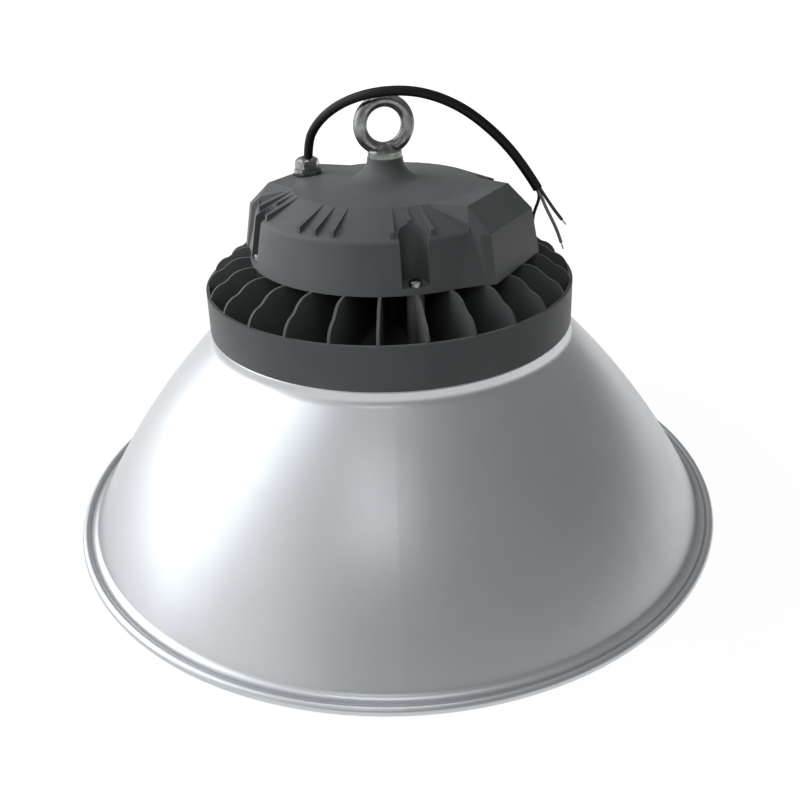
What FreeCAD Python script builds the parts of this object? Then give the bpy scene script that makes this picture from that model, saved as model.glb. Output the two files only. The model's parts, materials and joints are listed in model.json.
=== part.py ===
"""High bay light: a spun aluminium reflector under a die-cast heat sink and driver housing.

Millimetres, +Z up. The origin is the centre of the reflector's rim, in the plane that it stands on.
The driver block lies along its own U axis, turned BLOCK_TURN degrees from +X about the lamp's axis.
"""

import FreeCAD
import Part
import math
import os

from FreeCAD import Vector

# ---- driving dimensions ---------------------------------------------------------------------

# reflector
RIM_RADIUS = 250.0
BEAD_RADIUS = 3.3
RIM_FLANGE_HEIGHT = 4.6
WALL_FOOT_RADIUS = 239.3
WALL_BULGE = 6.0
FOOT_BEND = 3.4
BELL_SECTORS = 8
NECK_STEP = 1.1
NECK_HEIGHT = 9.0
NECK_BEND = 1.2
NECK_FOOT_BEND = 4.0
NECK_FLANGE = 17.0
SHEET = 1.5

# heat sink
SINK_BOTTOM = 151.3
SINK_RADIUS = 137.4
SINK_RING_HEIGHT = 31.0
SINK_RING_WALL = 2.5
SINK_BASE = 6.0
HUB_RADIUS = 34.0
FIN_COUNT = 27
FIN_THICKNESS = 2.0
FIRST_FIN_ANGLE = -93.6
FIN_NOSE_WIDTH = 8.2
FIN_NOSE_RISE = 10.6
FIN_DIP_WIDTH = 14.4
FIN_DIP_RISE = 14.0
FIN_CREST_WIDTH = 28.0
FIN_WAVE = 1.6
PILLAR_RADIUS = 6.0
LEAD_HOLE_RADIUS = 7.0

# driver housing
BLOCK_TURN = -31.0
HOUSING_BOTTOM = 202.0
HOUSING_TOP = 252.0
ROUND_BOTTOM_RADIUS = 103.0
ROUND_SHOULDER_RADIUS = 96.5
ROUND_SHOULDER_Z = 236.4
ROUND_TOP_RADIUS = 68.5
SHOULDER_BEND = 1.8
CONE_RISE = 4.0
BOSS_RADIUS = 13.0
BOSS_FLARE_RADIUS = 29.0
BOSS_TOP = 271.5
BLOCK_HALF_LENGTH = 105.8
BLOCK_HALF_WIDTH = 41.3
END_DRAFT = 5.4
SIDE_DRAFT = 0.8
BLOCK_SHOULDER_Z = 235.0
BLOCK_TOP_HALF_LENGTH = 82.4
END_FACE_HALF_WIDTH = 38.0
END_SHOULDER_HALF_WIDTH = 35.7
END_TOP_HALF_WIDTH = 33.7
CORNER_CUT = 5.6
WEB_FOOT_ANGLE = 33.0
WEB_TIP_REACH = 4.2
WEB_TIP_RISE = 6.0
TOP_CORNER_CUT_LENGTH = 22.0
TOP_CORNER_CUT_WIDTH = 5.3
TOP_CORNER_CUT_DROP = 1.0
TOP_CORNER_CUT_SHARE = 0.5
HOUSING_WALL = 5.0
SKIRT_WALL = 2.5

# cooling ribs on the housing's shoulder
RIB_GROUP_ANGLES = (-41.0, 0.0, 41.0)
RIB_PITCH = 8.2
RIB_WIDTH = 2.8
RIB_INNER_RADIUS = 68.0
RIB_OUTER_RADIUS = 93.5
RIB_END_HEIGHT = 4.2

# screw pockets
POCKET_ANGLE = 41.0
POCKET_CENTRE_RADIUS = 92.0
POCKET_RADIUS = 9.5
POCKET_FLOOR = 4.0
POCKET_WALL = 2.5
HOUSING_SCREW_CIRCLE = 97.0

# closing plate and gasket under the driver
PLATE_THICKNESS = 2.0
GASKET_THICKNESS = 1.5
FIT_GAP = 0.3
PLATE_GAP = 1.0

# eye bolt (M10 lifting eye)
EYE_CENTRE_Z = 294.8
EYE_RING_RADIUS = 17.5
EYE_BAR_RADIUS = 5.0
EYE_COLLAR_RADIUS = 12.5
EYE_COLLAR_HEIGHT = 6.5
EYE_NECK_HEIGHT = 3.0
EYE_SHANK_RADIUS = 5.0
EYE_SHANK_LENGTH = 17.0
EYE_TURN = 12.0

# cable gland
GLAND_INSET = 12.4
GLAND_HEX_FLATS = 18.0
GLAND_HEX_HEIGHT = 4.0
GLAND_THREAD_RADIUS = 7.6
GLAND_THREAD_LENGTH = 10.0
GLAND_CAP_FLATS = 17.0
GLAND_CAP_HEIGHT = 8.5
GLAND_WASHER_HEIGHT = 1.0
GLAND_SEAT_RADIUS = 11.5
GLAND_COLLAR_RADIUS = 7.2
GLAND_HEX_TURN = 12.0
GLAND_CAP_TURN = 20.0
SEAL_RADIUS = 5.9
LOCKNUT_FLATS = 19.0
LOCKNUT_HEIGHT = 4.0

# cable and its cores
CABLE_RADIUS = 3.5
CORE_RADIUS = 1.2
CORE_SPREAD = 1.45
COPPER_RADIUS = 0.6
COPPER_LENGTH = 5.0
INNER_JACKET_END = 236.0
JACKET_END = Vector(109, -16, 248)
ARC_SHARE = 0.45

# lamp side
BOARD_CLEARANCE = 8.0
BOARD_THICKNESS = 1.6
CHIP_SIZE = 3.5
CHIP_HEIGHT = 0.8
CHIP_PITCH = 25.8
CHIP_RING_PITCH = 20.0
CHIP_EDGE = 10.0
GLASS_THICKNESS = 3.0
LENS_GASKET_HEIGHT = 7.0
LENS_GASKET_WIDTH = 8.0
LENS_RING_CLEARANCE = 1.5
LENS_RING_WALL = 10.5
LENS_LIP = 3.0
LENS_LIP_COVER = 1.0

# screws: (shank radius, head radius, head height, length under the head)
HOUSING_SCREW = (2.5, 4.3, 4.5, 15.0)
REFLECTOR_SCREW = (2.0, 3.8, 2.6, 6.0)
LENS_SCREW = (2.0, 3.6, 2.6, 16.0)
SMALL_SCREW = (1.5, 2.8, 1.8, 5.0)
THREAD_CLEARANCE = 0.05
SOCKET_SHARE = 0.55

# driver and its fixings
DRIVER_LENGTH = 116.0
DRIVER_WIDTH = 54.0
DRIVER_HEIGHT = 25.0
DRIVER_CENTRE_U = 17.0
DRIVER_LIFT = 12.0
DRIVER_EDGE_RADIUS = 2.0
BRACKET_SHEET = 1.5
BRACKET_FOOT = 9.0
BRACKET_WIDTH = 14.0
LEAD_RADIUS = 2.0
CONNECTOR_PLACE = 10.0
CONNECTOR_HEIGHT = 4.0
TERMINAL_U = -40.0
TERMINAL_V = 46.0
TERMINAL_LENGTH = 24.0
TERMINAL_WIDTH = 16.0
TERMINAL_HEIGHT = 14.0
EARTH_PLACE = Vector(-8.0, 52.0, 0)
LUG_THICKNESS = 0.8
LUG_RADIUS = 3.4
LUG_NECK = 4.0

# ---- sizes that follow from these -----------------------------------------------------------

NECK_RADIUS = SINK_RADIUS - NECK_STEP
FLANGE_INNER_RADIUS = NECK_RADIUS - NECK_FLANGE
GLAND_U = GLAND_INSET - BLOCK_TOP_HALF_LENGTH
LENS_RING_RADIUS = FLANGE_INNER_RADIUS - LENS_RING_CLEARANCE
GLASS_RADIUS = LENS_RING_RADIUS - LENS_RING_WALL
LENS_GASKET_INNER_RADIUS = GLASS_RADIUS - LENS_GASKET_WIDTH
LENS_RING_INNER_RADIUS = LENS_GASKET_INNER_RADIUS - LENS_LIP_COVER
BOARD_RADIUS = LENS_GASKET_INNER_RADIUS - BOARD_CLEARANCE

Z_AXIS = Vector(0, 0, 1)
ORIGIN = Vector(0, 0, 0)


# ---- helpers --------------------------------------------------------------------------------

def cylinder(radius, bottom, top, x=0.0, y=0.0):
    return Part.makeCylinder(radius, top - bottom, Vector(x, y, bottom))


def tube_ring(outer, inner, bottom, top, x=0.0, y=0.0):
    return cylinder(outer, bottom, top, x, y).cut(cylinder(inner, bottom, top, x, y))


def block(length, width, bottom, top, u=0.0, v=0.0):
    return Part.makeBox(length, width, top - bottom, Vector(u - length / 2, v - width / 2, bottom))


def hexagon(flats, bottom, top, x=0.0, y=0.0, turn=0.0):
    corner = flats / math.sqrt(3)
    points = [polar(corner, turn + 60 * step, bottom, x, y) for step in range(7)]
    return Part.Face(Part.makePolygon(points)).extrude(Vector(0, 0, top - bottom))


def polar(radius, angle, z=0.0, x=0.0, y=0.0):
    rad = math.radians(angle)
    return Vector(x + radius * math.cos(rad), y + radius * math.sin(rad), z)


def revolved(edges):
    """Turn a closed outline in the XZ plane right round the lamp's axis."""
    return Part.Face(Part.Wire(edges)).revolve(ORIGIN, Z_AXIS, 360)


def profile_point(radius, z):
    return Vector(radius, 0, z)


def outline(points):
    """A closed outline of straight edges through (radius, z) pairs."""
    corners = [profile_point(*point) for point in points]
    return Part.makePolygon(corners + corners[:1]).Edges


def line(start, end):
    return Part.LineSegment(start, end).toShape()


def arc(start, middle, end):
    return Part.Arc(start, middle, end).toShape()


def sagged(start, end, sagitta):
    """An arc from start to end whose middle stands off the chord, to its left."""
    chord = end - start
    side = Z_AXIS.cross(chord) if abs(chord.z) < 1e-9 else Vector(0, 1, 0).cross(chord)
    side.normalize()
    return arc(start, (start + end) * 0.5 + side * sagitta, end)


def fuse_all(shapes):
    return shapes[0].fuse(shapes[1:]).removeSplitter()


def cut_all(shape, tools):
    return shape.cut(Part.makeCompound(tools))


def turned(shape, angle=BLOCK_TURN):
    """Turn a shape made along U and V into its place about the lamp's axis."""
    copy = shape.copy()
    copy.rotate(ORIGIN, Z_AXIS, angle)
    return copy


def pan_screw(size, seat, x, y, up=1):
    """A socket pan-head screw: its head stands on seat, on the side that up names."""
    shank, head, head_height, length = size
    bottom, top = sorted((seat, seat + up * head_height))
    screw = cylinder(head, bottom, top, x, y)
    crown = seat + up * head_height
    rim = [edge for edge in screw.Edges if abs(edge.CenterOfMass.z - crown) < 1e-6]
    screw = screw.makeFillet(head_height * 0.35, [edge for edge in rim if edge.Closed])
    bottom, top = sorted((seat, seat - up * length))
    screw = screw.fuse(cylinder(shank, bottom, top, x, y))
    bottom, top = sorted((crown, crown - up * head_height * SOCKET_SHARE))
    return screw.cut(hexagon(shank * 1.25, bottom, top, x, y)).removeSplitter()


def screw_set(size, seat, places, up=1):
    return Part.makeCompound([pan_screw(size, seat, place.x, place.y, up) for place in places])


def screw_holes(size, seat, places, depth, up=1):
    """Tapped holes for a set of screws, from their seat to a depth."""
    bottom, top = sorted((seat, seat - up * depth))
    radius = size[0] + THREAD_CLEARANCE
    return [cylinder(radius, bottom, top, place.x, place.y) for place in places]


def ring_places(radius, count, start=0.0):
    return [polar(radius, start + 360.0 * step / count) for step in range(count)]


def corner_arc(before, corner, after, reach):
    """The tangent arc that starts at reach from a corner: its start, its end, its edge, its radius."""
    run_in = corner - before
    run_out = after - corner
    turn = run_in.getAngle(run_out)
    radius = reach / math.tan(turn / 2)
    run_in.normalize()
    run_out.normalize()
    inward = run_out - run_in
    inward.normalize()
    start = corner - run_in * reach
    end = corner + run_out * reach
    middle = corner + inward * (radius / math.cos(turn / 2) - radius)
    return start, end, arc(start, middle, end), radius


def rounded_route(points):
    """Straight runs joined by tangent arcs, each as large as its two runs allow."""
    edges = []
    radii = []
    place = points[0]
    for before, corner, after in zip(points, points[1:], points[2:]):
        reach = ARC_SHARE * min(before.distanceToPoint(corner), corner.distanceToPoint(after))
        start, end, bend, radius = corner_arc(before, corner, after, reach)
        edges.append(line(place, start))
        edges.append(bend)
        radii.append(radius)
        place = end
    edges.append(line(place, points[-1]))
    return Part.Wire(edges), radii


def lead(name, points, radius):
    """A round lead along a route, with its arc radii and its length printed."""
    path, radii = rounded_route(points)
    direction = points[1] - points[0]
    section = Part.Wire(Part.makeCircle(radius, points[0], direction))
    solid = path.makePipeShell([section], True, False)
    expected = math.pi * radius * radius * path.Length
    text = " ".join("%.0f" % value for value in radii)
    ratio = solid.Volume / expected
    print("%s: length %.1f, radii %s, volume ratio %.4f" % (name, path.Length, text, ratio))
    return solid


# ---- reflector ------------------------------------------------------------------------------

def reflector_skin(offset):
    """One skin of the sheet from its top flange to its rim; offset 0 is outside, SHEET is inside."""
    flat = SINK_BOTTOM - offset
    neck = NECK_RADIUS - offset
    start = profile_point(FLANGE_INNER_RADIUS, flat)
    top_corner = profile_point(neck, flat)
    neck_foot = profile_point(neck, SINK_BOTTOM - NECK_HEIGHT - offset * 0.4)
    wall_foot = profile_point(WALL_FOOT_RADIUS - offset * 0.8, RIM_FLANGE_HEIGHT - offset)
    lean = math.atan(4 * WALL_BULGE / neck_foot.distanceToPoint(wall_foot))
    upper_run = wall_foot - neck_foot
    lower_run = FreeCAD.Rotation(Vector(0, 1, 0), math.degrees(lean)).multVec(upper_run)
    upper_run = FreeCAD.Rotation(Vector(0, 1, 0), -math.degrees(lean)).multVec(upper_run)
    outward = wall_foot + Vector(FOOT_BEND * 2, 0, 0)
    bend_reach = NECK_BEND + SHEET - offset
    top_start, top_end, top_bend, _ = corner_arc(start, top_corner, neck_foot, bend_reach)
    neck_start, neck_end, neck_bend, _ = corner_arc(
        top_corner, neck_foot, neck_foot + upper_run, NECK_FOOT_BEND)
    foot_start, foot_end, foot_bend, _ = corner_arc(
        wall_foot - lower_run, wall_foot, outward, FOOT_BEND)
    return [
        line(start, top_start),
        top_bend,
        line(top_end, neck_start),
        neck_bend,
        sagged(neck_end, foot_start, -WALL_BULGE),
        foot_bend,
    ], start, foot_end


def build_reflector():
    """A spun bell: flange on the heat sink, neck, bulged wall, and a rim flange with its bead.

    It is turned sector by sector, because its narrow bends are very long the other way.
    """
    bead_x = RIM_RADIUS - BEAD_RADIUS
    outside, outer_start, outer_lip = reflector_skin(0.0)
    inside, inner_start, inner_lip = reflector_skin(SHEET)
    rise = RIM_FLANGE_HEIGHT - BEAD_RADIUS
    entry = profile_point(bead_x - math.sqrt(BEAD_RADIUS ** 2 - rise ** 2), RIM_FLANGE_HEIGHT)
    fall = rise - SHEET
    leave = profile_point(bead_x - math.sqrt(BEAD_RADIUS ** 2 - fall ** 2), RIM_FLANGE_HEIGHT - SHEET)
    half = BEAD_RADIUS * math.sqrt(0.5)
    outermost = profile_point(RIM_RADIUS, BEAD_RADIUS)
    rim = [
        line(outer_lip, entry),
        arc(entry, profile_point(bead_x + half, BEAD_RADIUS + half), outermost),
        arc(outermost, profile_point(bead_x, 0), leave),
        line(leave, inner_lip),
    ]
    edges = [line(inner_start, outer_start)] + outside + rim + inside
    profile = Part.Face(Part.Wire(Part.sortEdges(edges)[0]))
    sector = profile.revolve(ORIGIN, Z_AXIS, 360.0 / BELL_SECTORS)
    bell = fuse_all([turned(sector, 360.0 / BELL_SECTORS * step) for step in range(BELL_SECTORS)])
    holes = screw_holes(REFLECTOR_SCREW, SINK_BOTTOM, reflector_screw_places(), SHEET)
    return cut_all(bell, holes)


def reflector_screw_places():
    return ring_places((FLANGE_INNER_RADIUS + NECK_RADIUS - SHEET) / 2, 6, 30.0)


def build_reflector_screws():
    return screw_set(REFLECTOR_SCREW, SINK_BOTTOM - SHEET, reflector_screw_places(), -1)


# ---- heat sink ------------------------------------------------------------------------------

def fin_outline():
    """One fin from the hub to the ring; its top rises from the ring in two waves."""
    ring_top = SINK_BOTTOM + SINK_RING_HEIGHT
    outer = SINK_RADIUS - SINK_RING_WALL / 2
    inner = HUB_RADIUS - 4.0
    root = SINK_BOTTOM + SINK_BASE / 2
    top = HOUSING_BOTTOM
    at_ring = profile_point(outer, ring_top)
    nose = profile_point(outer - FIN_NOSE_WIDTH, ring_top + FIN_NOSE_RISE)
    dip = profile_point(outer - FIN_DIP_WIDTH, ring_top + FIN_DIP_RISE)
    crest = profile_point(outer - FIN_CREST_WIDTH, top)
    reach = dip.x - crest.x
    drop = top - dip.z
    crest_radius = (reach ** 2 + drop ** 2) / (2 * drop)
    half_turn = math.asin(reach / crest_radius) / 2
    crest_middle = crest + Vector(
        crest_radius * math.sin(half_turn), 0, crest_radius * (math.cos(half_turn) - 1))
    edges = [
        line(profile_point(inner, root), profile_point(outer, root)),
        line(profile_point(outer, root), at_ring),
        sagged(at_ring, nose, FIN_WAVE),
        sagged(nose, dip, -FIN_WAVE / 3),
        arc(dip, crest_middle, crest),
        line(crest, profile_point(inner, top)),
        line(profile_point(inner, top), profile_point(inner, root)),
    ]
    return Part.Face(Part.Wire(edges))


def build_fins():
    plate = fin_outline().extrude(Vector(0, FIN_THICKNESS, 0))
    plate.translate(Vector(0, -FIN_THICKNESS / 2, 0))
    step = 360.0 / FIN_COUNT
    return [turned(plate, FIRST_FIN_ANGLE + step * number) for number in range(FIN_COUNT)]


def pocket_angles():
    """The four screw pockets, as angles from the U axis."""
    return [side + turn for side in (90, -90) for turn in (-POCKET_ANGLE, POCKET_ANGLE)]


def housing_screw_places():
    return [polar(HOUSING_SCREW_CIRCLE, angle + BLOCK_TURN) for angle in pocket_angles()]


def build_heat_sink():
    bottom = SINK_BOTTOM
    base_top = bottom + SINK_BASE
    ring_top = bottom + SINK_RING_HEIGHT
    base = cylinder(SINK_RADIUS, bottom, base_top)
    ring = tube_ring(SINK_RADIUS, SINK_RADIUS - SINK_RING_WALL, bottom, ring_top)
    hub = cylinder(HUB_RADIUS, bottom, HOUSING_BOTTOM)
    pillars = [cylinder(PILLAR_RADIUS, bottom, HOUSING_BOTTOM, p.x, p.y) for p in housing_screw_places()]
    body = fuse_all([base, ring, hub] + pillars + build_fins())
    depth = HOUSING_SCREW[3] - POCKET_FLOOR + 1.0
    holes = screw_holes(HOUSING_SCREW, HOUSING_BOTTOM, housing_screw_places(), depth)
    holes += screw_holes(REFLECTOR_SCREW, bottom, reflector_screw_places(), REFLECTOR_SCREW[3], -1)
    holes += screw_holes(LENS_SCREW, bottom, lens_screw_places(), SINK_BASE - 1.5, -1)
    holes += screw_holes(SMALL_SCREW, bottom, board_screw_places(), SMALL_SCREW[3], -1)
    plate_holes = screw_holes(SMALL_SCREW, HOUSING_BOTTOM, plate_screw_places(), SMALL_SCREW[3])
    holes += [turned(hole) for hole in plate_holes]
    holes.append(cylinder(LEAD_HOLE_RADIUS, bottom, HOUSING_BOTTOM))
    return cut_all(body, holes)


# ---- driver housing -------------------------------------------------------------------------

def half_space(point, normal, inset):
    """A large block that removes all that lies beyond a plane moved inward by inset."""
    size = 400.0
    tool = Part.makeBox(size, size, size / 4, Vector(-size / 2, -size / 2, 0))
    place = point - normal * inset
    tool.Placement = FreeCAD.Placement(place, FreeCAD.Rotation(Z_AXIS, normal))
    return tool


def plane_through(first, second, third):
    """A point and the outward unit normal of the plane through three corners."""
    normal = (second - first).cross(third - first)
    normal.normalize()
    if normal.dot(first - Vector(0, 0, HOUSING_BOTTOM)) < 0:
        normal = normal * -1
    return first, normal


def block_planes():
    """The faces of the driver block's +U +V quarter, each as a point and a normal."""
    shoulder_length = BLOCK_HALF_LENGTH - END_DRAFT
    shoulder_width = BLOCK_HALF_WIDTH - SIDE_DRAFT
    end_low = Vector(BLOCK_HALF_LENGTH, END_FACE_HALF_WIDTH, HOUSING_BOTTOM)
    end_shoulder = Vector(shoulder_length, END_SHOULDER_HALF_WIDTH, BLOCK_SHOULDER_Z)
    end_middle = Vector(shoulder_length, 0, BLOCK_SHOULDER_Z)
    side_low = Vector(0, BLOCK_HALF_WIDTH, HOUSING_BOTTOM)
    side_shoulder = Vector(0, shoulder_width, BLOCK_SHOULDER_Z)
    side_corner = Vector(shoulder_length - CORNER_CUT, shoulder_width, BLOCK_SHOULDER_Z)
    top_corner = Vector(BLOCK_TOP_HALF_LENGTH, END_TOP_HALF_WIDTH, HOUSING_TOP)
    top_middle = Vector(BLOCK_TOP_HALF_LENGTH, 0, HOUSING_TOP)
    facet_low = side_corner + (top_corner - end_shoulder) * TOP_CORNER_CUT_SHARE
    cut = Vector(-TOP_CORNER_CUT_LENGTH, TOP_CORNER_CUT_WIDTH, -TOP_CORNER_CUT_DROP)
    return [
        plane_through(end_low, end_shoulder, end_middle),
        plane_through(side_low, side_shoulder, side_corner),
        plane_through(end_low, end_shoulder, side_corner),
        plane_through(end_shoulder, end_middle, top_middle),
        plane_through(end_shoulder, side_corner, top_corner),
        plane_through(top_corner, top_corner + cut, facet_low),
    ]


def block_form(inset):
    length = 2 * BLOCK_HALF_LENGTH
    form = block(length, 2 * BLOCK_HALF_WIDTH, HOUSING_BOTTOM, HOUSING_TOP - inset)
    tools = []
    for point, normal in block_planes():
        for u_sign in (1, -1):
            for v_sign in (1, -1):
                spot = Vector(point.x * u_sign, point.y * v_sign, point.z)
                facing = Vector(normal.x * u_sign, normal.y * v_sign, normal.z)
                tools.append(half_space(spot, facing, inset))
    for tool in tools:
        form = form.cut(tool)
    return form


def corner_webs():
    """Leaning three-cornered webs that fill the valleys between the round part and the block."""
    foot = polar(ROUND_BOTTOM_RADIUS, WEB_FOOT_ANGLE, HOUSING_BOTTOM)
    toe = Vector(BLOCK_HALF_LENGTH - CORNER_CUT, BLOCK_HALF_WIDTH, HOUSING_BOTTOM)
    root = Vector(foot.x * 0.7, toe.y * 0.7, HOUSING_BOTTOM)
    tip_width = BLOCK_HALF_WIDTH - SIDE_DRAFT
    tip = Vector(BLOCK_TOP_HALF_LENGTH + WEB_TIP_REACH, tip_width, BLOCK_SHOULDER_Z + WEB_TIP_RISE)
    corners = [(foot, toe, tip), (toe, root, tip), (root, foot, tip), (foot, root, toe)]
    faces = [Part.Face(Part.makePolygon([a, b, c, a])) for a, b, c in corners]
    web = Part.makeSolid(Part.makeShell(faces))
    across = web.mirror(ORIGIN, Vector(0, 1, 0))
    return [turned(shape, angle) for shape in (web, across) for angle in (0, 180)]


def round_form(inset):
    """The round part of the housing up to its shallow cone, without the boss."""
    peak_rise = CONE_RISE * ROUND_TOP_RADIUS / (ROUND_TOP_RADIUS - BOSS_FLARE_RADIUS)
    base = profile_point(0, HOUSING_BOTTOM)
    low = profile_point(ROUND_BOTTOM_RADIUS - inset, HOUSING_BOTTOM)
    shoulder = profile_point(ROUND_SHOULDER_RADIUS - inset, ROUND_SHOULDER_Z - inset * 0.25)
    brim = profile_point(ROUND_TOP_RADIUS - inset * 0.25, HOUSING_TOP - inset)
    peak = profile_point(0, HOUSING_TOP - inset + peak_rise)
    bend_start, bend_end, bend, _ = corner_arc(low, shoulder, brim, SHOULDER_BEND)
    return revolved([
        line(base, low),
        line(low, bend_start),
        bend,
        line(bend_end, brim),
        line(brim, peak),
        line(peak, base),
    ])


def boss_form():
    """The boss under the eye bolt, with its hollow flare down to the cone."""
    flare_start = profile_point(BOSS_FLARE_RADIUS, HOUSING_TOP + CONE_RISE)
    flare_middle = profile_point(BOSS_RADIUS + 3.6, HOUSING_TOP + CONE_RISE + 5.8)
    boss_top = profile_point(BOSS_RADIUS, BOSS_TOP)
    low = profile_point(BOSS_FLARE_RADIUS, HOUSING_TOP - 1)
    centre_top = profile_point(0, BOSS_TOP)
    centre_low = profile_point(0, HOUSING_TOP - 1)
    return revolved([
        line(centre_low, low),
        line(low, flare_start),
        arc(flare_start, flare_middle, boss_top),
        line(boss_top, centre_top),
        line(centre_top, centre_low),
    ])


def pocket_column(radius, bottom, top):
    """The four pockets as upright U-shaped columns, open outward."""
    columns = []
    for angle in pocket_angles():
        column = cylinder(radius, bottom, top, POCKET_CENTRE_RADIUS)
        mouth = Part.makeBox(40, 2 * radius, top - bottom, Vector(POCKET_CENTRE_RADIUS, -radius, bottom))
        columns.append(turned(column.fuse(mouth), angle))
    return columns


def shoulder_ribs():
    """Wedge-shaped ribs that start flush with the top and stand proud at the shoulder."""
    slope = (HOUSING_TOP - ROUND_SHOULDER_Z) / (ROUND_SHOULDER_RADIUS - ROUND_TOP_RADIUS)
    end_z = HOUSING_TOP - (RIB_OUTER_RADIUS - ROUND_TOP_RADIUS) * slope
    section = Part.Face(Part.Wire(outline([
        (RIB_INNER_RADIUS, HOUSING_TOP - 4),
        (RIB_OUTER_RADIUS, end_z - 3),
        (RIB_OUTER_RADIUS + 0.4, end_z),
        (RIB_OUTER_RADIUS, end_z + RIB_END_HEIGHT),
        (RIB_INNER_RADIUS, HOUSING_TOP + 0.2),
    ])))
    rib = section.extrude(Vector(0, RIB_WIDTH, 0))
    rib.translate(Vector(0, -RIB_WIDTH / 2, 0))
    ribs = []
    for side in (90, -90):
        for group in RIB_GROUP_ANGLES:
            for place in (-1, 0, 1):
                ribs.append(turned(rib, side + group + place * RIB_PITCH))
    return ribs


def build_driver_housing():
    floor = HOUSING_BOTTOM + POCKET_FLOOR
    step = HOUSING_BOTTOM + PLATE_THICKNESS + GASKET_THICKNESS
    outside = fuse_all([round_form(0), block_form(0), boss_form()] + corner_webs() + shoulder_ribs())
    outside = cut_all(outside, pocket_column(POCKET_RADIUS, floor, HOUSING_TOP + 5))
    lug = POCKET_RADIUS + POCKET_WALL
    low_lugs = pocket_column(lug, HOUSING_BOTTOM, HOUSING_TOP)
    high_lugs = pocket_column(lug + HOUSING_WALL - SKIRT_WALL, HOUSING_BOTTOM, HOUSING_TOP)
    cavity = cut_all(round_form(HOUSING_WALL).fuse(block_form(HOUSING_WALL)), high_lugs)
    skirt_slab = cylinder(BLOCK_HALF_LENGTH * 1.2, HOUSING_BOTTOM, step)
    skirt = round_form(SKIRT_WALL).fuse(block_form(SKIRT_WALL)).common(skirt_slab)
    shell = outside.cut(cavity.fuse(cut_all(skirt, low_lugs)))
    shank_hole = cylinder(EYE_SHANK_RADIUS + THREAD_CLEARANCE, BOSS_TOP - EYE_SHANK_LENGTH - 0.5, BOSS_TOP)
    gland_bore = GLAND_THREAD_RADIUS + FIT_GAP
    gland_hole = cylinder(gland_bore, HOUSING_TOP - 2 * HOUSING_WALL, HOUSING_TOP, GLAND_U)
    gland_seat = cylinder(GLAND_SEAT_RADIUS, HOUSING_TOP, HOUSING_TOP + 5, GLAND_U)
    core = fuse_all([cylinder(BOSS_RADIUS, BOSS_TOP - EYE_SHANK_LENGTH - 4, BOSS_TOP - 6), shell])
    screws = [polar(HOUSING_SCREW_CIRCLE, angle) for angle in pocket_angles()]
    holes = screw_holes(HOUSING_SCREW, floor, screws, POCKET_FLOOR)
    shell = cut_all(core, [shank_hole, gland_hole, gland_seat] + holes)
    return turned(shell.removeSplitter())


def plate_outline(inset, bottom, top):
    """A flat piece that follows the inside of the housing's skirt."""
    slab = cylinder(BLOCK_HALF_LENGTH * 1.2, HOUSING_BOTTOM, HOUSING_BOTTOM + 0.5)
    plan = round_form(inset).fuse(block_form(inset)).common(slab)
    face = [f for f in plan.removeSplitter().Faces if f.normalAt(0, 0).z < -0.99][0]
    plate = face.extrude(Vector(0, 0, top - bottom))
    plate.translate(Vector(0, 0, bottom - HOUSING_BOTTOM))
    growth = inset - SKIRT_WALL
    lugs = pocket_column(POCKET_RADIUS + POCKET_WALL + growth, bottom, top)
    return cut_all(plate, lugs)


def plate_screw_places():
    """Screws that hold the plate to the hub, in U and V."""
    return [Vector(u, v, 0) for u in (-20.0, 20.0) for v in (-16.0, 16.0)]


def turned_point(u, v, z=0.0):
    return Vector(
        u * math.cos(math.radians(BLOCK_TURN)) - v * math.sin(math.radians(BLOCK_TURN)),
        u * math.sin(math.radians(BLOCK_TURN)) + v * math.cos(math.radians(BLOCK_TURN)),
        z,
    )


# ---- lamp side ------------------------------------------------------------------------------

def lens_screw_places():
    return ring_places((GLASS_RADIUS + LENS_RING_RADIUS) / 2, 6, 0.0)


def board_screw_places():
    return ring_places(34.0, 4, 45.0)


def build_led_board():
    board = cylinder(BOARD_RADIUS, SINK_BOTTOM - BOARD_THICKNESS, SINK_BOTTOM)
    holes = screw_holes(SMALL_SCREW, SINK_BOTTOM, board_screw_places(), BOARD_THICKNESS)
    holes.append(cylinder(LEAD_HOLE_RADIUS, SINK_BOTTOM - BOARD_THICKNESS, SINK_BOTTOM))
    return cut_all(board, holes)


def chip_rings():
    """Radius and number of light sources of each ring, from the board's edge inward."""
    rings = []
    radius = BOARD_RADIUS - CHIP_EDGE
    while radius > CHIP_RING_PITCH:
        rings.append((radius, round(2 * math.pi * radius / CHIP_PITCH)))
        radius -= CHIP_RING_PITCH
    return rings


def build_led_chips():
    """Square light sources on the board's lower face, in rings."""
    top = SINK_BOTTOM - BOARD_THICKNESS
    chips = []
    for radius, count in chip_rings():
        for step in range(count):
            chip = block(CHIP_SIZE, CHIP_SIZE, top - CHIP_HEIGHT, top, radius)
            chips.append(turned(chip, 360.0 * (step + 0.5) / count))
    return Part.makeCompound(chips)


def build_board_screws():
    return screw_set(SMALL_SCREW, SINK_BOTTOM - BOARD_THICKNESS, board_screw_places(), -1)


def build_board_connector():
    top = SINK_BOTTOM - BOARD_THICKNESS
    return turned(block(7.0, 8.0, top - CONNECTOR_HEIGHT, top, CONNECTOR_PLACE + 3.5))


def build_lens_gasket():
    bottom = SINK_BOTTOM - LENS_GASKET_HEIGHT
    return tube_ring(GLASS_RADIUS, LENS_GASKET_INNER_RADIUS, bottom, SINK_BOTTOM)


def build_lens_cover():
    top = SINK_BOTTOM - LENS_GASKET_HEIGHT
    return cylinder(GLASS_RADIUS, top - GLASS_THICKNESS, top)


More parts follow.
